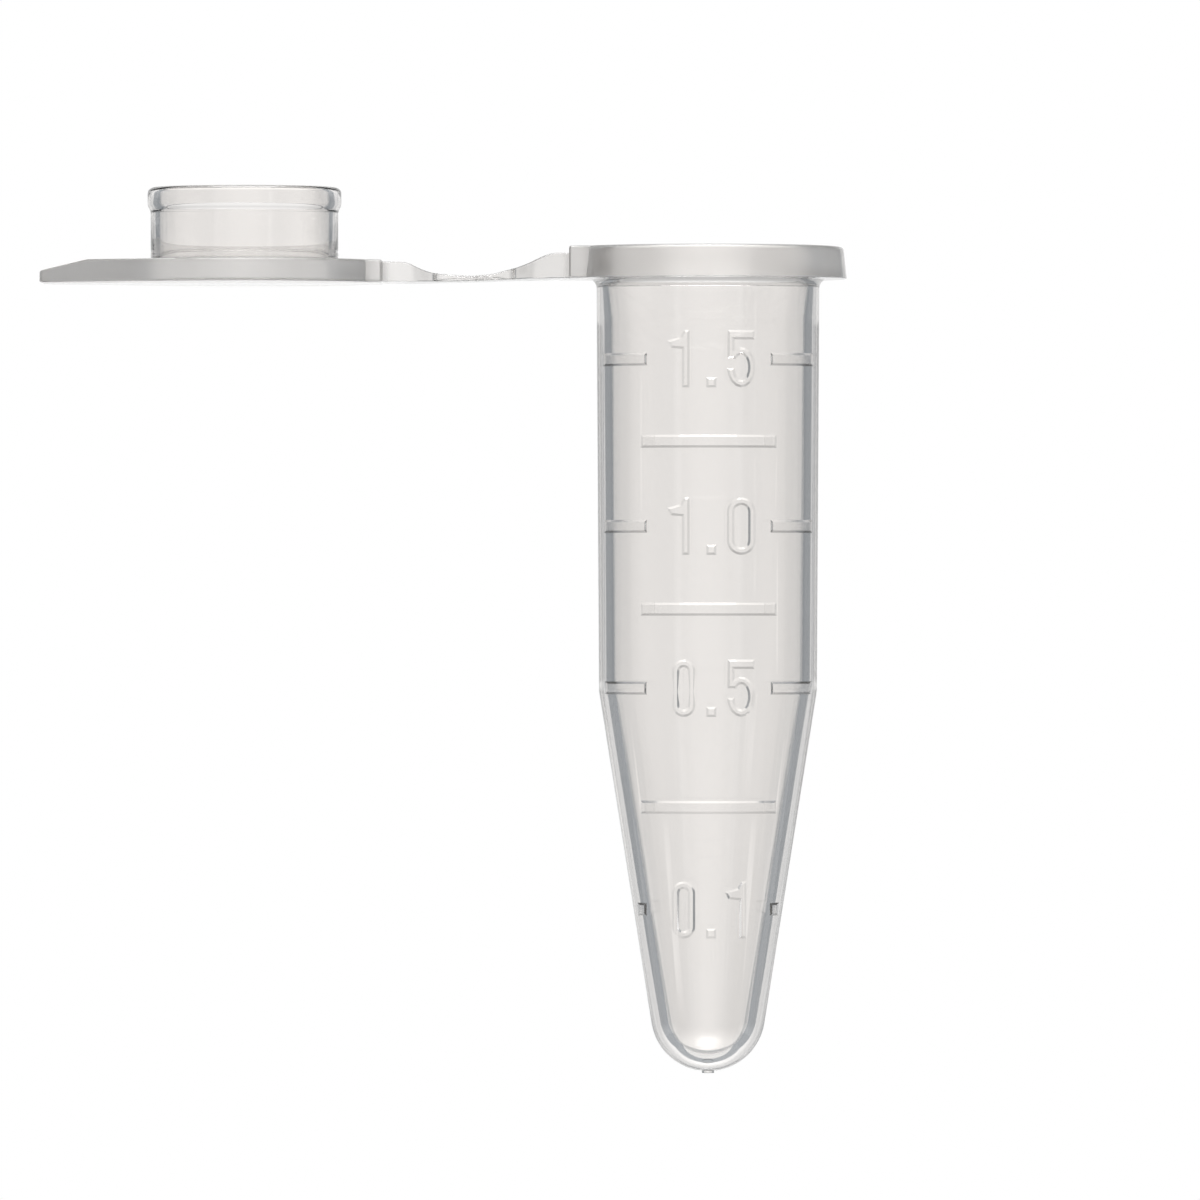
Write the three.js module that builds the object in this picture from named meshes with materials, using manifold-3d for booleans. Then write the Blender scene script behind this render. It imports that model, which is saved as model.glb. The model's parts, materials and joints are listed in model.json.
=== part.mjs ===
// A 1.5 mL microcentrifuge tube with an attached snap lid, moulded in natural polypropylene.
// Millimetres, +Z up. The origin is on the barrel's axis, in the plane of the collar's underside.
// The lid lies folded flat open towards -X with its plug up. The graduations face -Y.

import * as THREE from 'three';
import { mergeVertices } from 'three/addons/utils/BufferGeometryUtils.js';
import Module from 'manifold-3d';

const wasm = await Module();
wasm.setup();

// ---- Barrel ---------------------------------------------------------------------------------
const BARREL_R = 5.36; // outside, level with the collar's underside
const BARREL_DRAFT = 0.12; // the barrel is this much smaller in radius where the cone starts
const BARREL_DEPTH = 19.8; // from the collar's underside down to the cone
const CONE_LENGTH = 18.28; // from the cone's start down to the bottom
const TIP_R = 2.75; // outside of the round bottom
const WALL = 0.7;
const BOTTOM_WALL = 0.8;
const GATE_R = 0.3; // moulding stub under the bottom
const GATE_HEIGHT = 0.08;

// ---- Mouth and collar -----------------------------------------------------------------------
const COLLAR_HEIGHT = 1.54;
const COLLAR_OVERHANG = 1.31; // the collar's lower edge stands this far out from the barrel
const COLLAR_DRAFT = 0.15; // the collar is this much smaller in radius at its top
const COLLAR_EDGE_R = 0.2;
const LUG_HALF_WIDTH = 3.2; // the collar and the plate are squared off where the strap joins them
const SEAT_STEP = 0.02; // the plug's seat is this much larger in radius than the bore
const SEAT_DEPTH = 1.83; // the seat ends this far below the collar's underside
const SEAT_END = 0.15; // length of the slope from the seat to the bore
const SEAT_CLEARANCE = 0.02; // between the plug's bead and the seat
const LEAD_IN = 0.3; // the mouth is wider than the seat by this, so the bead can swing in
const LEAD_IN_DEPTH = 1.04; // most of the widening lies below this depth under the rim
const LEAD_IN_LOW = 0.24; // how much of it is left there

// ---- Graduations ----------------------------------------------------------------------------
const MARK_RELIEF = 0.06;
const MARK_STROKE = 0.36;
const DIGIT_HEIGHT = 2.74;
const FIRST_DIGIT = { x: -1.2, width: 1.12 };
const LAST_DIGIT = { x: 1.55, width: 1.38 };
const POINT_X = 0.12;
const POINT_SIZE = 0.48;
const TICK_HEIGHT = 0.62;
const TICK_GAP = 0.72; // between a number and the ticks beside it
const TICK_REACH = 0.945; // a tick's outer end, as a share of the wall's radius
const TICK_MIN = 0.3;
const BAR_LENGTH = 6.5;
const TOP_MARK_DEPTH = 3.92;
const LAST_BARREL_MARK = 0.16; // above the start of the cone
// Marks down the barrel from the top one to the last, and then down the cone, as shares of each.
const BARREL_MARKS = [['1.5', 0], ['bar', 0.25], ['1.0', 0.508], ['bar', 0.76], ['0.5', 1]];
const CONE_MARKS = [['bar', 0.303], ['0.1', 0.572]];

// ---- Lid ------------------------------------------------------------------------------------
const LID_OVERHANG = 0.02; // the lid's radius is this much larger than the collar's
const LID_UNDERSIDE = -0.22; // the open lid's outer face hangs this far below the collar's underside
const LID_THICKNESS = 1.1;
const LID_EDGE_R = 0.18;
const CLOSED_GAP = 0.04; // between the shut lid and the collar's top
const PLUG_HEIGHT = 3.52;
const PLUG_WALL = 0.42;
const BEAD_PROUD = 0.15;
const BEAD_HEIGHT = 1.15;
const TAB_REACH = 3.1; // from the plate's edge to the tab's end
const TAB_FLAT = 0.74; // from the plate's edge to where the tab slopes down
const TAB_END_THICKNESS = 0.58;
const TAB_END_HALF_WIDTH = 2.6;
const TAB_CORNER_R = 0.9;

// ---- Living hinge ---------------------------------------------------------------------------
const STRAP_LENGTH = 8.92; // from the collar's side to the open lid's
const FILM_THICKNESS = 0.24;
const FILM_UNDERSIDE = -0.11;
const FILM_HALF_WIDTH = 1.9;
const LAND_HALF_WIDTH = 2.6;
const TUBE_LAND_LENGTH = 1.84; // from the collar's side to where the strap narrows
const TUBE_LAND_HEIGHT = 1.2;
const TUBE_LAND_SAG = 0.03; // the land's far end hangs this far below the collar's underside
const LID_LAND_LENGTH = 1.65;
const LID_LAND_HEIGHT = 1.0;
const LID_LAND_RISE = 0.04; // the land's far end is this far above the plate's outer face
const TAPER_LENGTH = 0.78; // each land narrows to the film over this
const THINNEST_OFFSET = 0.3; // from the strap's middle to its thinnest place, towards the lid
// Where each land falls to the film: the distance past the land's end, and the share left of the
// land's height above the film.
const TUBE_SHOULDER = [[-0.95, 1], [0, 0.62], [0.78, 0.355], [1.84, 0.075]];
const LID_SHOULDER = [[-0.55, 1], [0, 0.63], [0.78, 0.185]];
const FOLD_CLEARANCE = 0.02; // between neighbours at a fold line
const JOIN_GAP = 0.02; // between sub-parts that are moulded together

// ---- Fineness of round surfaces -------------------------------------------------------------
const ROUND_SEGMENTS = 48;
const ARC_STEPS = 5;
const EDGE_STEPS = 2; // on small rounded edges
const SHOULDER_STEPS = 28; // along the strap's upper side
const DIGIT_STEPS = 8; // on each half of a digit's oval

// ---- Shape tools ----------------------------------------------------------------------------
const polar = (cx, cy, r, angle) => [cx + r * Math.cos(angle), cy + r * Math.sin(angle)];

function arc(cx, cy, r, from, to, steps = ARC_STEPS) {
  return Array.from({ length: steps + 1 }, (_, i) => polar(cx, cy, r, from + ((to - from) * i) / steps));
}

// A solid of revolution about Z from [radius, height] points, outer wall upwards.
function turned(profile) {
  const points = profile.map(([r, z]) => new THREE.Vector2(r, z));
  return new THREE.LatheGeometry(points, ROUND_SEGMENTS).rotateX(Math.PI / 2);
}

const ring = (profile) => turned([...profile, profile[0]]);

const disc = (r, low, high) => turned([[0, low], [r, low], [r, high], [0, high]]);

const outline = (points) => new THREE.Shape(points.map(([x, y]) => new THREE.Vector2(x, y)));

// A plate with an outline in plan, between two heights.
function plate(shape, low, high) {
  const geometry = new THREE.ExtrudeGeometry(shape, { depth: high - low, bevelEnabled: false });
  return geometry.translate(0, 0, low);
}

// A bar with an outline seen from the side, [x, z], and a width either side of the XZ plane.
function sidewaysBar(shape, halfWidth) {
  const geometry = new THREE.ExtrudeGeometry(shape, { depth: 2 * halfWidth, bevelEnabled: false });
  return geometry.rotateX(Math.PI / 2).translate(0, halfWidth, 0);
}

function toSolid(geometry) {
  const bare = geometry.clone();
  bare.deleteAttribute('normal');
  bare.deleteAttribute('uv');
  const merged = mergeVertices(bare, 1e-4);
  return new wasm.Manifold(new wasm.Mesh({
    numProp: 3,
    vertProperties: new Float32Array(merged.attributes.position.array),
    triVerts: new Uint32Array(merged.index.array),
  }));
}

function toGeometry(solid) {
  const mesh = solid.getMesh();
  const geometry = new THREE.BufferGeometry();
  geometry.setAttribute('position', new THREE.BufferAttribute(new Float32Array(mesh.vertProperties), 3));
  geometry.setIndex(new THREE.BufferAttribute(new Uint32Array(mesh.triVerts), 1));
  geometry.computeVertexNormals();
  return geometry;
}

const joined = (solids) => solids.reduce((whole, solid) => whole.add(solid));

// ---- Materials ------------------------------------------------------------------------------
const natural = new THREE.MeshStandardMaterial({ color: 0xdcdbd6, roughness: 0.25, metalness: 0 });
const thick = new THREE.MeshStandardMaterial({ color: 0xb6b6b1, roughness: 0.3, metalness: 0 });
const film = new THREE.MeshStandardMaterial({ color: 0xe2dcd5, roughness: 0.3, metalness: 0 });

const tube = new THREE.Group();
const lid = new THREE.Group();
const hinge = new THREE.Group();

function place(group, name, geometry, material) {
  const mesh = new THREE.Mesh(geometry, material);
  mesh.name = name;
  group.add(mesh);
}

// ---- Barrel, cone and round bottom ----------------------------------------------------------
// The cone is tangent to the round bottom, so its angle follows from the two ends it joins.
function coneAngle(topR, topDepth, bottomR, bottomCentreDepth) {
  const rise = bottomCentreDepth - topDepth;
  return Math.atan(topR / rise) - Math.asin(bottomR / Math.hypot(topR, rise));
}

const tipDepth = BARREL_DEPTH + CONE_LENGTH;
const bottomCentre = tipDepth - TIP_R;
const barrelLowR = BARREL_R - BARREL_DRAFT;
const boreTopR = BARREL_R - WALL;
const boreLowR = barrelLowR - WALL;
const boreTipR = TIP_R - BOTTOM_WALL;
const seatR = boreTopR + SEAT_STEP;
const innerConeDepth = BARREL_DEPTH - WALL / 2;
const outerAngle = coneAngle(barrelLowR, BARREL_DEPTH, TIP_R, bottomCentre);
const barrelR = (z) => BARREL_R + (BARREL_DRAFT * z) / BARREL_DEPTH;

function wallR(depth) {
  if (depth < BARREL_DEPTH) return barrelR(-depth);
  return barrelLowR - (depth - BARREL_DEPTH) * Math.tan(outerAngle);
}

// The outer wall from the gate stub up to the rim, grown outwards by a relief.
function outerWall(relief) {
  const bottomR = TIP_R + relief;
  const angle = coneAngle(barrelLowR + relief, BARREL_DEPTH, bottomR, bottomCentre);
  const gateStart = Math.asin(GATE_R / bottomR) - Math.PI / 2;
  return [
    ...arc(0, -bottomCentre, bottomR, gateStart, -angle),
    [barrelLowR + relief, -BARREL_DEPTH],
    [barrelR(0) + relief, 0],
    [barrelR(COLLAR_HEIGHT) + relief, COLLAR_HEIGHT],
  ];
}

// The bore from the rim down to the inside of the bottom.
function innerWall() {
  const angle = coneAngle(boreLowR, innerConeDepth, boreTipR, bottomCentre);
  return [
    [seatR + LEAD_IN, COLLAR_HEIGHT],
    [seatR + LEAD_IN_LOW, COLLAR_HEIGHT - LEAD_IN_DEPTH],
    [seatR, -SEAT_DEPTH],
    [boreTopR, -SEAT_DEPTH - SEAT_END],
    [boreLowR, -innerConeDepth],
    ...arc(0, -bottomCentre, boreTipR, -angle, -Math.PI / 2),
  ];
}

const rectangle = (x0, z0, x1, z1) => outline([[x0, z0], [x1, z0], [x1, z1], [x0, z1]]);

// The shapes that one digit is made of, centred on its own middle.
function digit(character, width) {
  const h = DIGIT_HEIGHT / 2;
  const w = width / 2;
  const s = MARK_STROKE;
  if (character === '1') {
    const stem = 0.1;
    const flag = outline([[-0.8, h - 0.5], [-0.6, h - 0.85], [stem, h - 0.9], [stem, h], [stem - 0.18, h]]);
    return [rectangle(stem - s / 2, -h, stem + s / 2, h), flag];
  }
  if (character === '0') {
    const oval = (r) => outline([
      ...arc(0, h - w, r, 0, Math.PI, DIGIT_STEPS),
      ...arc(0, w - h, r, Math.PI, 2 * Math.PI, DIGIT_STEPS),
    ]);
    const loop = oval(w);
    loop.holes.push(new THREE.Path(oval(w - s).getPoints().reverse()));
    return [loop];
  }
  const bowlHalf = 0.965;
  const bowlEdge = (inset, from, to) => arc(0, 0, 1, from, to, 2 * DIGIT_STEPS)
    .map(([x, z]) => [x * (w - inset), bowlHalf - h + z * (bowlHalf - inset)]);
  const lowEnd = -Math.PI * 0.98;
  const highEnd = Math.PI * 0.78;
  const bowl = outline([...bowlEdge(0, lowEnd, highEnd), ...bowlEdge(s, highEnd, lowEnd)]);
  return [bowl, rectangle(-w, 0, s - w, h), rectangle(-w, h - s, w, h)];
}

// Every graduation as flat shapes in the XZ plane: [shape, x, z].
function graduations() {
  const barrelSpan = BARREL_DEPTH - LAST_BARREL_MARK - TOP_MARK_DEPTH;
  const labels = [
    ...BARREL_MARKS.map(([label, share]) => [label, TOP_MARK_DEPTH + barrelSpan * share]),
    ...CONE_MARKS.map(([label, share]) => [label, BARREL_DEPTH + CONE_LENGTH * share]),
  ];
  const tick = TICK_HEIGHT / 2;
  return labels.flatMap(([label, depth]) => {
    if (label === 'bar') return [[rectangle(-BAR_LENGTH / 2, -tick, BAR_LENGTH / 2, tick), 0, -depth]];
    const point = rectangle(-POINT_SIZE / 2, 0, POINT_SIZE / 2, POINT_SIZE);
    const outer = wallR(depth) * TICK_REACH;
    const inner = Math.min(LAST_DIGIT.x + LAST_DIGIT.width / 2 + TICK_GAP, outer - TICK_MIN);
    return [
      ...digit(label[0], FIRST_DIGIT.width).map((shape) => [shape, FIRST_DIGIT.x, -depth]),
      [point, POINT_X, -depth - DIGIT_HEIGHT / 2],
      ...digit(label[2], LAST_DIGIT.width).map((shape) => [shape, LAST_DIGIT.x, -depth]),
      [rectangle(inner, -tick, outer, tick), 0, -depth],
      [rectangle(-outer, -tick, -inner, tick), 0, -depth],
    ];
  });
}

const gateFoot = [[0, -tipDepth - GATE_HEIGHT], [GATE_R, -tipDepth - GATE_HEIGHT]];
const barrel = toSolid(turned([...gateFoot, ...outerWall(0), ...innerWall()]));
const raised = toSolid(turned([[0, -tipDepth], ...outerWall(MARK_RELIEF), [0, COLLAR_HEIGHT]]));
const bore = toSolid(turned([...innerWall().reverse(), [0, COLLAR_HEIGHT]]));
const stamps = graduations().map(([shape, x, z]) => {
  const bar = sidewaysBar(shape, BARREL_R).translate(x, -BARREL_R, z);
  return toSolid(bar);
});
const marks = joined(stamps).intersect(raised).subtract(bore);
place(tube, 'tube_body', toGeometry(barrel.add(marks)), natural);

// ---- Collar ---------------------------------------------------------------------------------
const collarLowR = BARREL_R + COLLAR_OVERHANG;
const collarR = (z) => collarLowR - (COLLAR_DRAFT * z) / COLLAR_HEIGHT;

const collarEdgeZ = COLLAR_HEIGHT - COLLAR_EDGE_R;
const collarTopR = collarR(COLLAR_HEIGHT) - COLLAR_EDGE_R;

// A block from the axis to a flat end, [x, z] corner by corner along that end from below.
function lug(end) {
  const block = outline([[0, end[0][1]], ...end, [0, end.at(-1)[1]]]);
  return toSolid(sidewaysBar(block, LUG_HALF_WIDTH));
}

const collarRound = toSolid(turned([
  [0, 0],
  [collarLowR, 0],
  ...arc(collarTopR, collarEdgeZ, COLLAR_EDGE_R, 0, Math.PI / 2, EDGE_STEPS),
  [0, COLLAR_HEIGHT],
]));
const collarLug = lug([
  [-collarLowR, 0],
  [-collarLowR, collarEdgeZ],
  [COLLAR_EDGE_R - collarLowR, COLLAR_HEIGHT],
]);
const barrelRoom = toSolid(turned([
  [0, -1],
  [barrelR(0) + JOIN_GAP, -1],
  [barrelR(0) + JOIN_GAP, 0],
  [barrelR(COLLAR_HEIGHT) + JOIN_GAP, COLLAR_HEIGHT],
  [0, COLLAR_HEIGHT + 1],
]));
place(tube, 'collar', toGeometry(collarRound.add(collarLug).subtract(barrelRoom)), thick);

// ---- Lid plate ------------------------------------------------------------------------------
const lidR = collarLowR + LID_OVERHANG;
const lidTop = LID_UNDERSIDE + LID_THICKNESS;
const lidOffset = collarLowR + STRAP_LENGTH + lidR; // from the barrel's axis to the lid's centre

const lidCentred = (geometry) => geometry.translate(-lidOffset, 0, 0);
const lidRound = toSolid(turned([
  [0, LID_UNDERSIDE],
  ...arc(lidR - LID_EDGE_R, LID_UNDERSIDE + LID_EDGE_R, LID_EDGE_R, -Math.PI / 2, 0, EDGE_STEPS),
  ...arc(lidR - LID_EDGE_R, lidTop - LID_EDGE_R, LID_EDGE_R, 0, Math.PI / 2, EDGE_STEPS),
  [0, lidTop],
]));
const lidLug = lug([
  [lidR - LID_EDGE_R, LID_UNDERSIDE],
  [lidR, LID_UNDERSIDE + LID_EDGE_R],
  [lidR, lidTop - LID_EDGE_R],
  [lidR - LID_EDGE_R, lidTop],
]);
place(lid, 'lid_disc', lidCentred(toGeometry(lidRound.add(lidLug))), thick);

// ---- Sealing plug ---------------------------------------------------------------------------
// A hollow ring on the plate, with a rounded bead at its tip and a rounded lip inside.
const plugTop = lidTop + PLUG_HEIGHT;
const plugFoot = lidTop + JOIN_GAP;
const beadR = seatR - SEAT_CLEARANCE;
const plugR = beadR - BEAD_PROUD;
const tipEdge = PLUG_WALL * 0.45;

const plug = ring([
  [plugR, plugFoot],
  [plugR, plugTop - BEAD_HEIGHT],
  [beadR - BEAD_PROUD * 0.3, plugTop - BEAD_HEIGHT * 0.78],
  [beadR, plugTop - BEAD_HEIGHT * 0.45],
  ...arc(beadR - BEAD_PROUD * 0.4 - tipEdge, plugTop - tipEdge, tipEdge, 0, Math.PI / 2, EDGE_STEPS),
  [plugR - PLUG_WALL, plugTop - tipEdge],
  [plugR - PLUG_WALL, plugFoot],
]);
place(lid, 'lid_plug', lidCentred(plug), natural);

// ---- Thumb tab ------------------------------------------------------------------------------
// In plan its sides run tangent to the plate and close in to a narrow rounded end.
const tabEnd = lidR + TAB_REACH;

function tabPlan() {
  const corner = [tabEnd - TAB_CORNER_R, TAB_END_HALF_WIDTH - TAB_CORNER_R];
  const away = Math.hypot(...corner);
  const tangent = Math.atan2(corner[1], corner[0]) + Math.acos((lidR - TAB_CORNER_R) / away);
  const side = [
    [0, 0],
    polar(0, 0, lidR, -tangent),
    ...arc(corner[0], -corner[1], TAB_CORNER_R, -tangent, 0),
    ...arc(corner[0], corner[1], TAB_CORNER_R, 0, tangent),
    polar(0, 0, lidR, tangent),
  ];
  return outline(side.map(([x, y]) => [-x, -y]));
}

const tabSide = outline([
  [-tabEnd, LID_UNDERSIDE],
  [0, LID_UNDERSIDE],
  [0, lidTop],
  [-lidR - TAB_FLAT, lidTop],
  [-tabEnd, LID_UNDERSIDE + TAB_END_THICKNESS],
]);
const lidSeat = toSolid(disc(lidR + JOIN_GAP, -lidR, lidR));
const tab = toSolid(plate(tabPlan(), LID_UNDERSIDE, lidTop))
  .intersect(toSolid(sidewaysBar(tabSide, lidR)))
  .subtract(lidSeat);
place(lid, 'thumb_tab', lidCentred(toGeometry(tab)), thick);

// ---- Living hinge ---------------------------------------------------------------------------
// The strap is one moulding: a land on the collar, a thin film, and a land on the lid. The film
// folds by a right angle near each land. Shut, it stands upright between the two fold lines, so
// their pitch is the height from the open film's middle to the shut one's.
const foldZ = FILM_UNDERSIDE + FILM_THICKNESS / 2;
const foldPitch = COLLAR_HEIGHT + CLOSED_GAP + lidTop - 2 * foldZ;
const tubeFold = -(lidOffset - foldPitch) / 2;
const lidFold = tubeFold - foldPitch;

const tubeLandEnd = -(collarLowR + TUBE_LAND_LENGTH);
const lidLandEnd = -(lidOffset - lidR - LID_LAND_LENGTH);

// The strap seen from the side: flat lands, and one smooth dip between them.
function strapSide() {
  const filmTop = FILM_UNDERSIDE + FILM_THICKNESS;
  const thinnest = -lidOffset / 2 - THINNEST_OFFSET;
  const lidLandTop = LID_UNDERSIDE + LID_LAND_HEIGHT;
  const shoulder = (points, landEnd, towards, landTop) => points.map(
    ([past, share]) => new THREE.Vector2(landEnd + towards * past, filmTop + (landTop - filmTop) * share),
  );
  const dip = new THREE.SplineCurve([
    ...shoulder(TUBE_SHOULDER, tubeLandEnd, -1, TUBE_LAND_HEIGHT),
    new THREE.Vector2(thinnest, filmTop),
    ...shoulder(LID_SHOULDER, lidLandEnd, 1, lidLandTop).reverse(),
  ]);
  return outline([
    [-lidOffset, LID_UNDERSIDE],
    [lidLandEnd, LID_UNDERSIDE + LID_LAND_RISE],
    [thinnest, FILM_UNDERSIDE],
    [tubeLandEnd, -TUBE_LAND_SAG],
    [0, 0],
    [0, TUBE_LAND_HEIGHT],
    ...dip.getPoints(SHOULDER_STEPS).map((p) => [p.x, p.y]),
    [-lidOffset, lidLandTop],
  ]);
}

function strapPlan() {
  const half = [
    [0, LAND_HALF_WIDTH],
    [tubeLandEnd, LAND_HALF_WIDTH],
    [tubeLandEnd - TAPER_LENGTH, FILM_HALF_WIDTH],
    [lidLandEnd + TAPER_LENGTH, FILM_HALF_WIDTH],
    [lidLandEnd, LAND_HALF_WIDTH],
    [-lidOffset, LAND_HALF_WIDTH],
  ];
  return outline([...half, ...half.map(([x, y]) => [x, -y]).reverse()]);
}

const STRAP_ROOM = 2; // cutting solids reach this far past the strap
const strap = toSolid(plate(strapPlan(), -STRAP_ROOM, STRAP_ROOM))
  .intersect(toSolid(sidewaysBar(strapSide(), LAND_HALF_WIDTH)));

// The room between two places along the strap, nearer the barrel and farther. At a fold line the
// room above the film's middle leans back by half of the fold, a right angle.
const leanHeight = foldPitch * 0.49;

function strapRoom(near, far, { nearFolds = false, farFolds = false }) {
  const start = near - (nearFolds ? FOLD_CLEARANCE / 2 : 0);
  const end = far + (farFolds ? FOLD_CLEARANCE / 2 : 0);
  const startAbove = start - (nearFolds ? leanHeight : 0);
  const endAbove = end + (farFolds ? leanHeight : 0);
  return toSolid(sidewaysBar(outline([
    [end, -STRAP_ROOM],
    [start, -STRAP_ROOM],
    [start, foldZ],
    [startAbove, foldZ + leanHeight],
    [startAbove, STRAP_ROOM],
    [endAbove, STRAP_ROOM],
    [endAbove, foldZ + leanHeight],
    [end, foldZ],
  ]), STRAP_ROOM + LAND_HALF_WIDTH));
}

const tubeLand = strap.intersect(strapRoom(-collarLowR - JOIN_GAP, tubeFold, { farFolds: true }));
place(tube, 'hinge_land_tube', toGeometry(tubeLand), film);

const fold = strap.intersect(strapRoom(tubeFold, lidFold, { nearFolds: true, farFolds: true }));
place(hinge, 'hinge_film', toGeometry(fold), film);

const lidLand = strap.intersect(strapRoom(lidFold, lidR + JOIN_GAP - lidOffset, { nearFolds: true }));
place(lid, 'hinge_land_lid', toGeometry(lidLand), film);

const microtube = new THREE.Group();
microtube.add(tube, hinge, lid);
export default microtube;
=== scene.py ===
# A 1.5 mL sample tube with a snap lid on a living hinge, moulded in one shot of natural plastic.
# The tube stands upright and open, with its lid folded flat to the left and the plug pointing up.

import json
import math
import bmesh
import bpy
from mathutils import Matrix, Vector


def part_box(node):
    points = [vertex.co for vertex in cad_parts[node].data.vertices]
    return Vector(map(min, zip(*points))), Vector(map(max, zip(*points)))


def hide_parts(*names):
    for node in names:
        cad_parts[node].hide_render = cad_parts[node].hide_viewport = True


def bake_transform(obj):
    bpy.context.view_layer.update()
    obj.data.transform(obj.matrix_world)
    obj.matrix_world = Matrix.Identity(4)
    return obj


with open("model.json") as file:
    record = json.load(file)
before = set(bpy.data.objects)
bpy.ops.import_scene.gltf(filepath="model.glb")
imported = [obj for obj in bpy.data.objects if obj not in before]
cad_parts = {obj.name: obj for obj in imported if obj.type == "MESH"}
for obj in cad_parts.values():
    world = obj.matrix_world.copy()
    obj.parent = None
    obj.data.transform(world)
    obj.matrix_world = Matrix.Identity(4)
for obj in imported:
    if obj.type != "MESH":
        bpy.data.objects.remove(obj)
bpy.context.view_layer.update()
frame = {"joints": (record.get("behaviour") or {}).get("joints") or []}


# ---- Studio ----------------------------------------------------------------------------------
# A light tent of white paper with a grey gap at each corner and at its foot, which draws the dark
# edges of clear plastic. Two narrow strip lights stand in front, and the floor is pale card.

class Wire:
    """A shader socket that works in sums: 1 - mask adds a Math node."""

    def __init__(self, board, socket):
        self.board = board
        self.socket = socket

    def maths(self, operation, first, second=0.0):
        return self.board.node("ShaderNodeMath", {"operation": operation}, {0: first, 1: second})

    def __add__(self, other):
        return self.maths("ADD", self, other)

    def __radd__(self, other):
        return self.maths("ADD", other, self)

    def __sub__(self, other):
        return self.maths("SUBTRACT", self, other)

    def __rsub__(self, other):
        return self.maths("SUBTRACT", other, self)

    def __mul__(self, other):
        return self.maths("MULTIPLY", self, other)

    def __rmul__(self, other):
        return self.maths("MULTIPLY", other, self)

    def __abs__(self):
        return self.maths("ABSOLUTE", self)

    def __gt__(self, other):
        return self.maths("GREATER_THAN", self, other)


class Board:
    """A node tree, with one method that adds a node and wires its sockets."""

    def __init__(self, tree):
        self.tree = tree
        tree.nodes.clear()

    def node(self, kind, settings=None, sockets=None, output=0):
        made = self.tree.nodes.new(kind)
        for name, value in (settings or {}).items():
            setattr(made, name, value)
        for name, value in (sockets or {}).items():
            if isinstance(value, Wire):
                self.tree.links.new(value.socket, made.inputs[name])
            else:
                made.inputs[name].default_value = value
        return Wire(self, made.outputs[output]) if made.outputs else made

    def split(self, vector):
        parts = self.node("ShaderNodeSeparateXYZ", sockets={0: vector}).socket.node
        return [Wire(self, socket) for socket in parts.outputs]

    def step(self, value, low, high, start=0.0, end=1.0):
        """A smooth rise from start to end as value goes from low to high."""
        return self.node(
            "ShaderNodeMapRange",
            {"interpolation_type": "SMOOTHSTEP"},
            {"Value": value, "From Min": low, "From Max": high, "To Min": start, "To Max": end},
        )


PAPER_WHITE = 1.02
GAP_COLOUR = (0.31, 0.33, 0.35, 1)
BACK_PAPER_ANGLES = math.radians(26), math.radians(29)
FALL_OFF_ANGLE = math.radians(12)
PAPER_FALL_OFF = 0.18
UPPER_SHADE = 0.4
UPPER_SHADE_HEIGHTS = 0.12, 0.4
LOWER_GLOW = 0.35
LOWER_GLOW_HEIGHTS = -0.08, -0.35
ROOF_HEIGHTS = 0.45, 0.8
TABLE_GAP_TOP = 0.43, 0.48
TABLE_GAP_FOOT = 0.72, 0.8
FRONT_PAPER_ANGLES = math.radians(8), math.radians(45)
FRONT_GAP_DEPTH = 0.6
STRIP_AZIMUTH = math.radians(34)
STRIP_HALF_WIDTH = math.radians(3.0)
STRIP_BRIGHTNESS = 0.6
STRIP_END_HEIGHTS = 0.5, 0.35


def light_tent():
    world = bpy.data.worlds.new("light_tent")
    world.use_nodes = True
    board = Board(world.node_tree)
    direction = board.node("ShaderNodeTexCoord", output="Generated")
    x, y, z = board.split(direction)
    nearer = x.maths("MINIMUM", abs(x), abs(y))
    further = x.maths("MAXIMUM", abs(x), abs(y))
    off_paper = x.maths("ARCTAN2", nearer, further)
    behind = y > 0
    fall_off = board.step(off_paper, 0.0, FALL_OFF_ANGLE, end=PAPER_FALL_OFF) * behind
    sharp_gap = board.step(off_paper, *BACK_PAPER_ANGLES)
    soft_gap = board.step(off_paper, *FRONT_PAPER_ANGLES, end=FRONT_GAP_DEPTH)
    overhead = board.step(abs(z), *ROOF_HEIGHTS)
    depth = 0 - z
    below = board.step(depth, *TABLE_GAP_TOP) * (1 - board.step(depth, *TABLE_GAP_FOOT)) * behind
    beside = (behind * sharp_gap + (1 - behind) * soft_gap) * (1 - overhead)
    gap = beside.maths("MAXIMUM", beside, below)
    azimuth = x.maths("ARCTAN2", abs(x), 0 - y)
    off_strip = abs(azimuth - STRIP_AZIMUTH)
    strip = board.step(off_strip, STRIP_HALF_WIDTH, STRIP_HALF_WIDTH / 2)
    level = board.step(abs(z), *STRIP_END_HEIGHTS)
    colour = board.node(
        "ShaderNodeMix", {"data_type": "RGBA"},
        {"Factor": gap, "A": (1, 1, 1, 1), "B": GAP_COLOUR}, output=2,
    )
    shade = board.step(z, *UPPER_SHADE_HEIGHTS, end=UPPER_SHADE)
    glow = board.step(z, *LOWER_GLOW_HEIGHTS, end=LOWER_GLOW)
    paper = PAPER_WHITE * (1 - fall_off * (1 - gap)) * (1 - (shade - glow) * behind)
    tent = board.node(
        "ShaderNodeBackground",
        sockets={"Color": colour, "Strength": paper + STRIP_BRIGHTNESS * strip * level},
    )
    backdrop = board.node("ShaderNodeBackground", sockets={"Color": (1, 1, 1, 1)})
    seen_directly = board.node("ShaderNodeLightPath", output="Is Camera Ray")
    background = board.node(
        "ShaderNodeMixShader", sockets={0: seen_directly, 1: tent, 2: backdrop},
    )
    board.node("ShaderNodeOutputWorld", sockets={"Surface": background})
    return world


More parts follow.
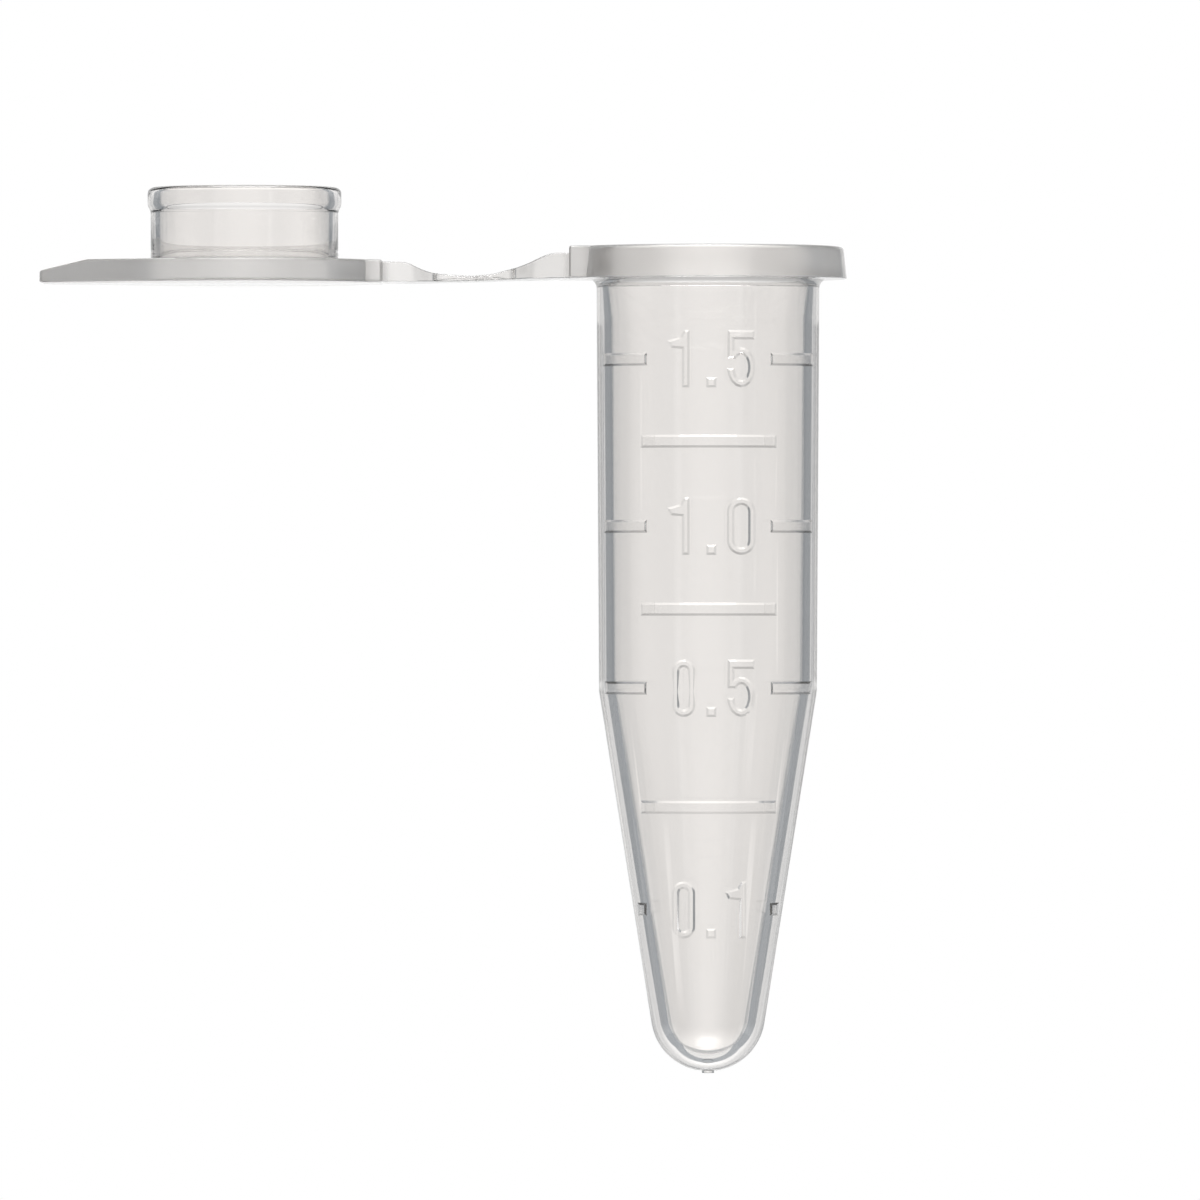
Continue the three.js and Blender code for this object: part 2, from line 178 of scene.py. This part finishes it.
def card_floor(height, radius):
    bm = bmesh.new()
    bmesh.ops.create_circle(bm, cap_ends=True, radius=radius, segments=96)
    bmesh.ops.translate(bm, verts=bm.verts, vec=(0, 0, height))
    mesh = bpy.data.meshes.new("floor")
    bm.to_mesh(mesh)
    bm.free()
    floor = bpy.data.objects.new("floor", mesh)
    bpy.context.collection.objects.link(floor)
    card = bpy.data.materials.new("pale_card")
    card.use_nodes = True
    board = Board(card.node_tree)
    surface = board.node(
        "ShaderNodeBsdfPrincipled",
        sockets={"Base Color": (0.93, 0.93, 0.92, 1), "Roughness": 0.8},
    )
    board.node("ShaderNodeOutputMaterial", sockets={"Surface": surface})
    mesh.materials.append(card)
    return floor


scene = bpy.context.scene
scene.view_settings.view_transform = "Standard"
scene.world = light_tent()
card_floor(height=-0.4, radius=0.35)

CAMERA_PLACE = (-0.00519, -0.657, -0.01543)
LENS = 410

camera_data = bpy.data.cameras.new("camera")
camera_data.lens = LENS
camera_data.sensor_width = 36
camera_data.clip_start = 0.01
camera = bpy.data.objects.new("camera", camera_data)
camera.location = CAMERA_PLACE
camera.rotation_euler = (math.pi / 2, 0, 0)
scene.collection.objects.link(camera)
scene.camera = camera

softbox_data = bpy.data.lights.new("overhead_softbox", "AREA")
softbox_data.size = 0.5
softbox_data.energy = 4
softbox = bpy.data.objects.new("overhead_softbox", softbox_data)
softbox.location = (0, 0, 0.7)
scene.collection.objects.link(softbox)


# ---- Tube wall, round bottom and collar ------------------------------------------------------
# The barrel and cone are one thin wall drawn down to a round bottom, with the stub where the
# plastic was fed in. A thick collar round the mouth hangs in the rack and takes the hinge.

MM = 0.001
ROUND_STEPS = 256
CORNER_STEPS = 5
TIP_STEPS = 20

WALL = 0.7
BOTTOM_WALL = 0.8
TIP_R = 2.75
GATE_R = 0.3
GATE_HEIGHT = 0.08
BARREL_DRAFT = 0.12
BARREL_DEPTH = 19.8
COLLAR_DRAFT = 0.15
COLLAR_EDGE_R = 0.2
COLLAR_FILLET = 0.45
SHOULDER_HALF_WIDTH = 3.2
SHOULDER_EDGE_R = 0.12
SHOULDER_OVERLAP = 0.15
INSIDE = 0.01
RIM_EDGE_R = 0.18
SEAT_STEP = 0.02
SEAT_DEPTH = 1.83
SEAT_END = 0.15
MOUTH_STEP = 0.32
LEAD_IN_DEPTH = 1.04
LEAD_IN_STEP = 0.26


def box_mm(node):
    low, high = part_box(node)
    return low / MM, high / MM


_, collar_high = box_mm("collar")
body_low, body_high = box_mm("tube_body")
collar_r = collar_high.x
rim_z = collar_high.z
barrel_r = body_high.x - BARREL_DRAFT * rim_z / BARREL_DEPTH
barrel_low_r = barrel_r - BARREL_DRAFT
tip_z = body_low.z + GATE_HEIGHT
tip_centre_z = tip_z + TIP_R
bore_r = barrel_r - WALL
bore_low_r = barrel_low_r - WALL
bore_tip_r = TIP_R - BOTTOM_WALL


def arc(centre_z, radius, start, end, steps):
    """Points [r, z] on a round bottom whose centre is on the axis."""
    turn = [start + (end - start) * i / steps for i in range(steps + 1)]
    return [(radius * math.cos(a), centre_z + radius * math.sin(a)) for a in turn]


def cone_angle(top_r, top_z, bottom_r, centre_z):
    """How far a cone leans in so that it meets its round bottom without a corner."""
    rise = top_z - centre_z
    return math.atan(top_r / rise) - math.asin(bottom_r / math.hypot(top_r, rise))


def turned(profile, centre_x=0.0):
    """Spins a profile of [r, z] or [r, z, corner size] about an upright axis."""
    bm = bmesh.new()
    verts = [bm.verts.new((centre_x + point[0], 0, point[1])) for point in profile]
    for first, second in zip(verts, verts[1:]):
        bm.edges.new((first, second))
    corners = {v: point[2] for v, point in zip(verts, profile) if len(point) > 2}
    for corner, size in corners.items():
        bmesh.ops.bevel(
            bm, geom=[corner], offset=size, offset_type="OFFSET", affect="VERTICES",
            segments=CORNER_STEPS, profile=0.5, material=-1, clamp_overlap=True,
        )
    bmesh.ops.spin(
        bm, geom=bm.verts[:] + bm.edges[:], cent=(centre_x, 0, 0), axis=(0, 0, 1),
        angle=2 * math.pi, steps=ROUND_STEPS, use_merge=True,
    )
    bmesh.ops.remove_doubles(bm, verts=bm.verts, dist=0.0005)
    bmesh.ops.recalc_face_normals(bm, faces=bm.faces)
    return bm


def shaped(name, bm):
    """A bmesh, drawn in millimetres, as an object."""
    mesh = bpy.data.meshes.new(name)
    bm.to_mesh(mesh)
    bm.free()
    piece = bpy.data.objects.new(name, mesh)
    bpy.context.collection.objects.link(piece)
    return piece


def joined(piece, other):
    """Makes one solid of a piece and another that overlaps it."""
    step = piece.modifiers.new("joined", "BOOLEAN")
    step.operation = "UNION"
    step.solver = "MANIFOLD"
    step.object = other
    shown = piece.evaluated_get(bpy.context.evaluated_depsgraph_get())
    mesh = bpy.data.meshes.new_from_object(shown)
    piece.modifiers.clear()
    piece.data = mesh
    bpy.data.objects.remove(other)
    return piece


def squared_end(name, inner_x, outer_x, low_z, high_z, edge_r):
    """The square shoulder on a round piece where the hinge strap joins it."""
    bm = bmesh.new()
    bmesh.ops.create_cube(bm, size=1)
    span = (abs(outer_x - inner_x), 2 * SHOULDER_HALF_WIDTH, high_z - low_z)
    bmesh.ops.scale(bm, verts=bm.verts, vec=span)
    middle = ((inner_x + outer_x) / 2, 0, (low_z + high_z) / 2)
    bmesh.ops.translate(bm, verts=bm.verts, vec=middle)
    bmesh.ops.bevel(
        bm, geom=bm.edges[:], offset=edge_r, offset_type="OFFSET", affect="EDGES",
        segments=CORNER_STEPS, profile=0.5, material=-1, clamp_overlap=True,
    )
    return shaped(name, bm)


gate_edge = math.asin(GATE_R / TIP_R) - math.pi / 2
outer_lean = cone_angle(barrel_low_r, -BARREL_DEPTH, TIP_R, tip_centre_z)
inner_lean = cone_angle(bore_low_r, WALL / 2 - BARREL_DEPTH, bore_tip_r, tip_centre_z)
tube = shaped("tube_moulding", turned([
    (0.0, body_low.z),
    (GATE_R, body_low.z, 0.03),
    *arc(tip_centre_z, TIP_R, gate_edge, -outer_lean, TIP_STEPS),
    (barrel_low_r, -BARREL_DEPTH),
    (barrel_r, 0.0, COLLAR_FILLET),
    (collar_r, 0.0, 0.06),
    (collar_r - COLLAR_DRAFT, rim_z, COLLAR_EDGE_R),
    (bore_r + MOUTH_STEP, rim_z, RIM_EDGE_R),
    (bore_r + LEAD_IN_STEP, rim_z - LEAD_IN_DEPTH, 0.3),
    (bore_r + SEAT_STEP, -SEAT_DEPTH, 0.06),
    (bore_r, -SEAT_DEPTH - SEAT_END, 0.06),
    (bore_low_r, WALL / 2 - BARREL_DEPTH, 0.3),
    *arc(tip_centre_z, bore_tip_r, -inner_lean, -math.pi / 2, TIP_STEPS),
]))
shoulder = squared_end(
    "collar_shoulder", SHOULDER_OVERLAP - barrel_r, -collar_r, INSIDE, rim_z - INSIDE,
    SHOULDER_EDGE_R,
)
tube = joined(tube, shoulder)


# ---- Volume marks ----------------------------------------------------------------------------
# Numbers, ticks and bars cut into the mould's wall, so that they stand a little proud of the tube
# with sloping sides. They are drawn flat and then wrapped on the wall.

MARK_RELIEF = 0.08
MARK_ROOT = 0.03
MARK_EDGE = 0.11
WRAP_STEP = 0.1
STROKE = 0.36
DIGIT_HALF_HEIGHT = 1.37
FIRST_DIGIT_X = -1.2
FIRST_DIGIT_HALF_WIDTH = 0.56
LAST_DIGIT_X = 1.55
LAST_DIGIT_HALF_WIDTH = 0.69
POINT_X = 0.12
POINT_SIZE = 0.48
TICK_HEIGHT = 0.62
TICK_GAP = 0.72
TICK_REACH = 0.945
BAR_LENGTH = 6.5
TOP_MARK_DEPTH = 3.92
LAST_BARREL_MARK = 0.16
BARREL_MARKS = [("1.5", 0), ("bar", 0.25), ("1.0", 0.508), ("bar", 0.76), ("0.5", 1)]
CONE_MARKS = [("bar", 0.303), ("0.1", 0.572)]
OVAL_STEPS = 14


def wall_r(depth):
    if depth < BARREL_DEPTH:
        return barrel_r - BARREL_DRAFT * depth / BARREL_DEPTH
    return barrel_low_r - (depth - BARREL_DEPTH) * math.tan(outer_lean)


def inset(points, by):
    """A closed anticlockwise outline moved inwards."""
    moved = []
    for before, here, after in zip(points[-1:] + points[:-1], points, points[1:] + points[:1]):
        along_first = (Vector(here) - Vector(before)).normalized()
        along_second = (Vector(after) - Vector(here)).normalized()
        first = Vector((-along_first.y, along_first.x))
        second = Vector((-along_second.y, along_second.x))
        moved.append(Vector(here) + (first + second) * by / (1 + first.dot(second)))
    return moved


def band(bm, first, second):
    """A closed band of faces between two loops of vertices that run side by side."""
    for corners in zip(first, first[1:] + first[:1], second[1:] + second[:1], second):
        bm.faces.new(corners)


def block(bm, outline, x, z, hole=None):
    """A raised shape with sloping sides, drawn flat: its height is towards -Y."""

    def loop(points, height):
        return [bm.verts.new((x + px, -height, z + pz)) for px, pz in points]

    sink = MARK_ROOT * MARK_EDGE / MARK_RELIEF
    low = loop(inset(outline, -sink), -MARK_ROOT)
    high = loop(inset(outline, MARK_EDGE), MARK_RELIEF)
    band(bm, low, high)
    if hole:
        hole_low = loop(inset(hole, sink), -MARK_ROOT)
        hole_high = loop(inset(hole, -MARK_EDGE), MARK_RELIEF)
        band(bm, hole_low, hole_high)
        band(bm, low, hole_low)
        band(bm, high, hole_high)
    else:
        bm.faces.new(low)
        bm.faces.new(high)


def rectangle(x0, z0, x1, z1):
    return [(x0, z0), (x1, z0), (x1, z1), (x0, z1)]


def bend(centre_z, half_width, half_height, start, end):
    turn = [start + (end - start) * i / OVAL_STEPS for i in range(OVAL_STEPS + 1)]
    return [(half_width * math.cos(a), centre_z + half_height * math.sin(a)) for a in turn]


def one():
    h = DIGIT_HALF_HEIGHT
    left, right = 0.1 - STROKE / 2, 0.1 + STROKE / 2
    return [(left, -h), (right, -h), (right, h), (left + 0.1, h), (left - 0.08, h - 0.32),
            (-0.8, h - 0.5), (-0.6, h - 0.85), (left, h - 0.9)]


def racetrack(half_width, straight):
    """The closed outline of a nought: two half rounds with straight sides between them."""
    top = bend(straight, half_width, half_width, 0, math.pi)
    return top + bend(-straight, half_width, half_width, math.pi, 2 * math.pi)


def five():
    h = DIGIT_HALF_HEIGHT
    w = LAST_DIGIT_HALF_WIDTH
    bowl = 0.965
    low, high = -math.pi * 0.98, math.pi * 0.65
    return [
        *bend(bowl - h, w, bowl, low, high),
        (STROKE - w, h - 0.45),
        (w - 0.05, h - 0.45),
        (w - 0.05, h),
        (-w + 0.04, h),
        (-w + 0.02, 0.0),
        (-w + 0.3, 0.0),
        *bend(bowl - h, w - STROKE, bowl - STROKE, math.pi * 0.78, low),
    ]


def digit(bm, character, x, z, half_width):
    if character == "1":
        block(bm, one(), x, z)
    elif character == "5":
        block(bm, five(), x, z)
    else:
        straight = DIGIT_HALF_HEIGHT - half_width
        block(bm, racetrack(half_width, straight), x, z, racetrack(half_width - STROKE, straight))


def marks():
    bm = bmesh.new()
    barrel_span = BARREL_DEPTH - LAST_BARREL_MARK - TOP_MARK_DEPTH
    cone_length = -BARREL_DEPTH - tip_z
    labels = [(label, TOP_MARK_DEPTH + barrel_span * share) for label, share in BARREL_MARKS]
    labels += [(label, BARREL_DEPTH + cone_length * share) for label, share in CONE_MARKS]
    tick = TICK_HEIGHT / 2
    for label, depth in labels:
        if label == "bar":
            block(bm, rectangle(-BAR_LENGTH / 2, -tick, BAR_LENGTH / 2, tick), 0, -depth)
            continue
        digit(bm, label[0], FIRST_DIGIT_X, -depth, FIRST_DIGIT_HALF_WIDTH)
        digit(bm, label[2], LAST_DIGIT_X, -depth, LAST_DIGIT_HALF_WIDTH)
        half = POINT_SIZE / 2
        block(bm, rectangle(-half, 0, half, POINT_SIZE), POINT_X, -depth - DIGIT_HALF_HEIGHT)
        outer = wall_r(depth) * TICK_REACH
        inner = LAST_DIGIT_X + LAST_DIGIT_HALF_WIDTH + TICK_GAP
        block(bm, rectangle(inner, -tick, outer, tick), 0, -depth)
        block(bm, rectangle(-outer, -tick, -inner, tick), 0, -depth)
    for step in range(1, round(2 * barrel_r / WRAP_STEP)):
        bmesh.ops.bisect_plane(
            bm, geom=bm.verts[:] + bm.edges[:] + bm.faces[:],
            plane_co=(step * WRAP_STEP - barrel_r, 0, 0), plane_no=(1, 0, 0),
        )
    for v in bm.verts:
        v.co.y = -math.sqrt((wall_r(-v.co.z) - v.co.y) ** 2 - v.co.x ** 2)
    bmesh.ops.recalc_face_normals(bm, faces=bm.faces)
    return shaped("marks", bm)


tube = joined(tube, marks())


# ---- Living hinge, tube side -----------------------------------------------------------------
# The strap is part of the same shot: a thick land on the collar that thins to a film. The film
# is rolled once while warm, and then folds for the life of the tube.

LAND_HALF_WIDTH = 2.6
FILM_HALF_WIDTH = 1.9
FILM_THICKNESS = 0.24
TUBE_LAND_LENGTH = 1.84
TUBE_LAND_HEIGHT = 1.2
LID_LAND_LENGTH = 1.65
LID_LAND_HEIGHT = 1.0
THINNEST_OFFSET = 0.3
TAPER_LENGTH = 0.78
STRAP_EDGE_R = 0.1
STRAP_OVERLAP = 1
STRAP_STEPS = 72
EASING_STEPS = 4
WIDTH_EASING = 0.06
HEIGHT_EASING = 0.09
SEAM_GAP = 0.004

film_low, _ = box_mm("hinge_film")
lid_low, lid_high = box_mm("lid_disc")
tab_low, _ = box_mm("thumb_tab")
lid_x = (lid_low.x + lid_high.x) / 2
lid_r = (lid_high.x - lid_low.x) / 2
tube_land_end = -collar_r - TUBE_LAND_LENGTH
lid_land_end = lid_x + lid_r + LID_LAND_LENGTH
thinnest_x = lid_x / 2 - THINNEST_OFFSET
film_z = film_low.z
film_top = film_z + FILM_THICKNESS
tube_land_top = TUBE_LAND_HEIGHT
lid_land_top = lid_low.z + LID_LAND_HEIGHT
folds = {joint["name"]: joint["pos_m"][0] / MM for joint in frame["joints"]}
seam_x = (folds["lid_fold"] + folds["film_fold"]) / 2

STRAP_TOP = [
    (0.0, tube_land_top),
    (tube_land_end + 0.95, tube_land_top),
    (tube_land_end, film_top + 0.66),
    (tube_land_end - 0.78, film_top + 0.38),
    (tube_land_end - 1.84, film_top + 0.08),
    (thinnest_x, film_top),
    (lid_land_end + 0.78, film_top + 0.12),
    (lid_land_end, film_top + 0.41),
    (lid_land_end - 0.55, lid_land_top),
    (lid_x, lid_land_top),
]
STRAP_UNDERSIDE = [
    (0.0, 0.03),
    (tube_land_end, -0.03),
    (thinnest_x, film_z),
    (lid_land_end, lid_low.z + 0.04),
    (lid_x, lid_low.z + 0.02),
]
STRAP_WIDTH = [
    (0.0, LAND_HALF_WIDTH),
    (tube_land_end, LAND_HALF_WIDTH),
    (tube_land_end - TAPER_LENGTH, FILM_HALF_WIDTH),
    (lid_land_end + TAPER_LENGTH, FILM_HALF_WIDTH),
    (lid_land_end, LAND_HALF_WIDTH),
    (lid_x, LAND_HALF_WIDTH),
]


def along(points, x, softness):
    """The height or width at x on straight runs between points, with the corners eased."""
    total = 0.0
    for shift in range(-EASING_STEPS, EASING_STEPS + 1):
        place = x + softness * shift
        for (x0, v0), (x1, v1) in zip(points, points[1:]):
            if x1 <= place <= x0:
                total += v0 + (v1 - v0) * (place - x0) / (x1 - x0)
                break
        else:
            total += points[0][1] if place > points[0][0] else points[-1][1]
    return total / (2 * EASING_STEPS + 1)


def strap(name, near, far):
    """The strap between two places along X, nearer the barrel and farther."""
    bm = bmesh.new()
    bmesh.ops.create_cube(bm, size=2)
    bmesh.ops.scale(bm, verts=bm.verts, vec=((near - far) / 2, 1, 1))
    bmesh.ops.translate(bm, verts=bm.verts, vec=((near + far) / 2, 0, 0))
    for step in range(1, STRAP_STEPS):
        bmesh.ops.bisect_plane(
            bm, geom=bm.verts[:] + bm.edges[:] + bm.faces[:],
            plane_co=(far + (near - far) * step / STRAP_STEPS, 0, 0), plane_no=(1, 0, 0),
        )
    for v in bm.verts:
        surface = STRAP_TOP if v.co.z > 0 else STRAP_UNDERSIDE
        v.co.y *= along(STRAP_WIDTH, v.co.x, WIDTH_EASING)
        v.co.z = along(surface, v.co.x, HEIGHT_EASING)
    long_edges = [e for e in bm.edges if abs(e.verts[0].co.x - e.verts[1].co.x) > INSIDE]
    bmesh.ops.bevel(
        bm, geom=long_edges, offset=STRAP_EDGE_R, offset_type="OFFSET", affect="EDGES",
        segments=3, profile=0.5, material=-1, clamp_overlap=True,
    )
    bmesh.ops.recalc_face_normals(bm, faces=bm.faces)
    return shaped(name, bm)


tube = joined(tube, strap("tube_strap", STRAP_OVERLAP - collar_r, seam_x + SEAM_GAP))


# ---- Natural plastic -------------------------------------------------------------------------
# Clear polypropylene with no dye: slightly warm, hazy grey where the moulding is thick, with a
# polished skin with faint flow lines, and frosted ticks beside the numbers.

IOR = 1.49
CLEAR_TINT = (0.918, 0.902, 0.888, 1)
CLOUD_TINT = (0.905, 0.889, 0.875, 1)
HAZE_COLOUR = (0.72, 0.69, 0.655, 1)
ABSORBING_COLOUR = (0.55, 0.54, 0.52, 1)
TUBE_TINT_DEPTH = 55
LID_TINT_DEPTH = 12
FLOW_SCALE = (1400, 1400, 90)
CLOUD_SCALE = 420.0
POLISH = 0.015
CLOUD_ROUGHNESS = 0.03
FLOW_ROUGHNESS = 0.01
FROST_ROUGHNESS = 0.22
MILKY_ROUGHNESS = 0.28
MILKY_HAZE = 0.14
FROST_HAZE = 0.12
STRAP_CLOUD = 0.4
SHARP_ANGLE = math.radians(28)


def natural_plastic(name, tint_depth, cloudy):
    """Plastic that is clear where cloudy is 0, and milky and softly lit where it is 1."""
    material = bpy.data.materials.new(name)
    material.use_nodes = True
    board = Board(material.node_tree)
    place = board.node("ShaderNodeTexCoord", output="Object")
    milky = cloudy(board, place)
    along_flow = board.node(
        "ShaderNodeMapping", sockets={"Vector": place, "Scale": FLOW_SCALE},
    )
    flow = board.node(
        "ShaderNodeTexNoise", sockets={"Vector": along_flow, "Scale": 1.0, "Detail": 3.0},
    )
    cloud = board.node(
        "ShaderNodeTexNoise", sockets={"Vector": place, "Scale": CLOUD_SCALE, "Detail": 4.0},
    )
    frost = board.node("ShaderNodeAttribute", {"attribute_name": "frost"}, output="Fac")
    polished = POLISH + CLOUD_ROUGHNESS * cloud + FLOW_ROUGHNESS * flow
    roughness = polished + FROST_ROUGHNESS * frost + MILKY_ROUGHNESS * milky
    haziness = MILKY_HAZE * milky + FROST_HAZE * frost
    colour = board.node(
        "ShaderNodeMix", {"data_type": "RGBA"},
        {"Factor": cloud, "A": CLEAR_TINT, "B": CLOUD_TINT}, output=2,
    )
    height = 0.6 * flow + 0.4 * cloud
    bump = board.node(
        "ShaderNodeBump", sockets={"Strength": 0.05, "Distance": 0.00002, "Height": height},
    )
    clear = board.node(
        "ShaderNodeBsdfPrincipled",
        sockets={
            "Base Color": colour, "Roughness": roughness, "IOR": IOR,
            "Transmission Weight": 1.0, "Coat Weight": milky, "Coat Roughness": 0.06,
            "Normal": bump,
        },
    )
    haze = board.node(
        "ShaderNodeBsdfPrincipled",
        sockets={
            "Base Color": HAZE_COLOUR, "Roughness": 0.3 + 0.1 * cloud, "IOR": IOR, "Normal": bump,
        },
    )
    surface = board.node("ShaderNodeMixShader", sockets={0: haziness, 1: clear, 2: haze})
    inside = board.node(
        "ShaderNodeVolumeAbsorption",
        sockets={"Color": ABSORBING_COLOUR, "Density": tint_depth},
    )
    board.node("ShaderNodeOutputMaterial", sockets={"Surface": surface, "Volume": inside})
    return material


def finished(piece, material):
    """Takes a piece drawn in millimetres to metres and gives it its plastic."""
    piece.data.transform(Matrix.Scale(MM, 4))
    piece.data.materials.clear()
    piece.data.materials.append(material)
    piece.data.shade_smooth()
    piece.data.set_sharp_from_angle(angle=SHARP_ANGLE)
    return piece


def frost_faces(mesh):
    """Finds the ticks' faces, which stand proud of the plain wall beside the numbers."""
    frost = mesh.attributes.new("frost", "FLOAT", "FACE")
    for face, value in zip(mesh.polygons, frost.data):
        middle = face.center
        proud = math.hypot(middle.x, middle.y) - wall_r(-middle.z)
        on_wall = tip_centre_z < middle.z < -1 and middle.y < 0
        beside_number = abs(middle.x) > LAST_DIGIT_X + LAST_DIGIT_HALF_WIDTH + TICK_GAP / 2
        value.value = 1.0 if on_wall and beside_number and proud > 0.1 * MARK_RELIEF else 0.0


def collar_cloud(board, place):
    """Cloudy in the collar, where the moulding is thick, and faintly so in the strap."""
    x, y, z = board.split(place)
    from_axis = x.maths("SQRT", x * x + y * y)
    beyond_wall = board.step(from_axis, (barrel_r + 0.05) * MM, (barrel_r + 0.3) * MM)
    in_collar = board.step(z, -0.05 * MM, 0.05 * MM)
    in_strap = board.step(x, -(collar_r + 0.1) * MM, -(collar_r + 0.4) * MM)
    return beyond_wall * in_collar * (1 - in_strap) + STRAP_CLOUD * in_strap


frost_faces(tube.data)
finished(tube, natural_plastic("thin_wall_natural", TUBE_TINT_DEPTH, collar_cloud))
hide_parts("tube_body", "collar", "hinge_land_tube", "hinge_film")

BEND_REACH = 1.0


def fold(piece, joint):
    """Bakes the piece's placement into its mesh; it does not bend the film across the fold line."""
    x = folds[joint]
    start = ((x + BEND_REACH) * MM, 0, film_z * MM)
    end = ((x - BEND_REACH) * MM, 0, film_z * MM)
    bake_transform(piece)


fold(tube, "lid_fold")


# ---- Lid -------------------------------------------------------------------------------------
# A thick round plate with a hollow sealing plug on it, a wedge to lift it by, and the far half of
# the strap. The plug has a rounded bead at its tip that clicks past the mouth.

LID_EDGE_R = 0.18
LID_SHOULDER_LENGTH = 2
PLUG_FILLET = 0.1
BEAD_PROUD = 0.15
BEAD_HEIGHT = 1.15
PLUG_WALL = 0.42
PLUG_TIP_R = 0.3
TAB_FLAT = 0.74
TAB_END_THICKNESS = 0.58
TAB_END_HALF_WIDTH = 2.6
TAB_CORNER_R = 0.9
TAB_EDGE_R = 0.1

plug_low, plug_high = box_mm("lid_plug")
bead_r = (plug_high.x - plug_low.x) / 2
plug_r = bead_r - BEAD_PROUD
plug_top = plug_high.z
plate_low, plate_top = lid_low.z, lid_high.z

lid = shaped("lid_moulding", turned([
    (0.0, plate_low),
    (lid_r, plate_low, LID_EDGE_R),
    (lid_r, plate_top, LID_EDGE_R),
    (plug_r, plate_top, PLUG_FILLET),
    (plug_r, plug_top - BEAD_HEIGHT, 0.12),
    (bead_r, plug_top - BEAD_HEIGHT * 0.8, 0.22),
    (bead_r, plug_top, PLUG_TIP_R),
    (plug_r - PLUG_WALL, plug_top, 0.14),
    (plug_r - PLUG_WALL, plate_top, PLUG_FILLET),
    (0.0, plate_top),
], centre_x=lid_x))


def thumb_tab():
    """A wedge whose sides run tangent to the plate and close in to a rounded end."""
    reach = lid_x - tab_low.x
    corner_x = reach - TAB_CORNER_R
    corner_y = TAB_END_HALF_WIDTH - TAB_CORNER_R
    away = math.hypot(corner_x, corner_y)
    tangent = math.atan2(corner_y, corner_x) + math.acos((lid_r - TAB_CORNER_R) / away)
    end = []
    for i in range(9):
        turn = tangent * i / 8
        x = corner_x + TAB_CORNER_R * math.cos(turn)
        end.append((x, corner_y + TAB_CORNER_R * math.sin(turn)))
    side = [*end, (lid_r * math.cos(tangent), lid_r * math.sin(tangent) - 0.02), (0.5, lid_r - 1.2)]
    outline = [(x, -y) for x, y in reversed(side)] + side
    bm = bmesh.new()
    verts = [bm.verts.new((lid_x - x, y, plate_low + INSIDE)) for x, y in outline]
    face = bm.faces.new(verts)
    lifted = bmesh.ops.extrude_face_region(bm, geom=[face])
    top = [part for part in lifted["geom"] if isinstance(part, bmesh.types.BMVert)]
    bmesh.ops.translate(bm, verts=top, vec=(0, 0, plate_top - plate_low - 2 * INSIDE))
    slope_start = lid_x - lid_r - TAB_FLAT
    end_z = plate_low + TAB_END_THICKNESS
    slope = Vector((tab_low.x - slope_start, 0, end_z - plate_top))
    across = Vector((0, 1, 0)).cross(slope)
    cut = bmesh.ops.bisect_plane(
        bm, geom=bm.verts[:] + bm.edges[:] + bm.faces[:],
        plane_co=(slope_start, 0, plate_top - INSIDE),
        plane_no=across if across.z > 0 else -across, clear_outer=True,
    )
    rim = [part for part in cut["geom_cut"] if isinstance(part, bmesh.types.BMEdge)]
    bmesh.ops.edgenet_fill(bm, edges=rim)
    bmesh.ops.remove_doubles(bm, verts=bm.verts, dist=0.0005)
    bmesh.ops.recalc_face_normals(bm, faces=bm.faces)
    outside = [e for e in bm.edges if e.is_manifold and e.calc_face_angle(0) > math.radians(50)]
    bmesh.ops.bevel(
        bm, geom=outside, offset=TAB_EDGE_R, offset_type="OFFSET", affect="EDGES",
        segments=3, profile=0.5, material=-1, clamp_overlap=True,
    )
    return shaped("thumb_tab_wedge", bm)


lid_edge_x = lid_x + lid_r
shoulder = squared_end(
    "lid_shoulder", lid_edge_x - LID_SHOULDER_LENGTH, lid_edge_x, plate_low + INSIDE,
    plate_top - INSIDE, LID_EDGE_R,
)
lid = joined(lid, shoulder)
lid = joined(lid, thumb_tab())
lid = joined(lid, strap("lid_strap", seam_x - SEAM_GAP, lid_edge_x - STRAP_OVERLAP))


def plate_cloud(board, place):
    """Cloudy in the plate and the tab, clear in the plug, and faintly cloudy in the strap."""
    x, _, z = board.split(place)
    in_plate = board.step(z, (plate_top + 0.15) * MM, (plate_top + 0.02) * MM)
    in_strap = board.step(x, (lid_x + lid_r + 0.1) * MM, (lid_x + lid_r + 0.4) * MM)
    return in_plate * (1 - in_strap) + STRAP_CLOUD * in_strap


finished(lid, natural_plastic("thick_natural", LID_TINT_DEPTH, plate_cloud))
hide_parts("lid_disc", "thumb_tab", "lid_plug", "hinge_land_lid")
fold(lid, "film_fold")
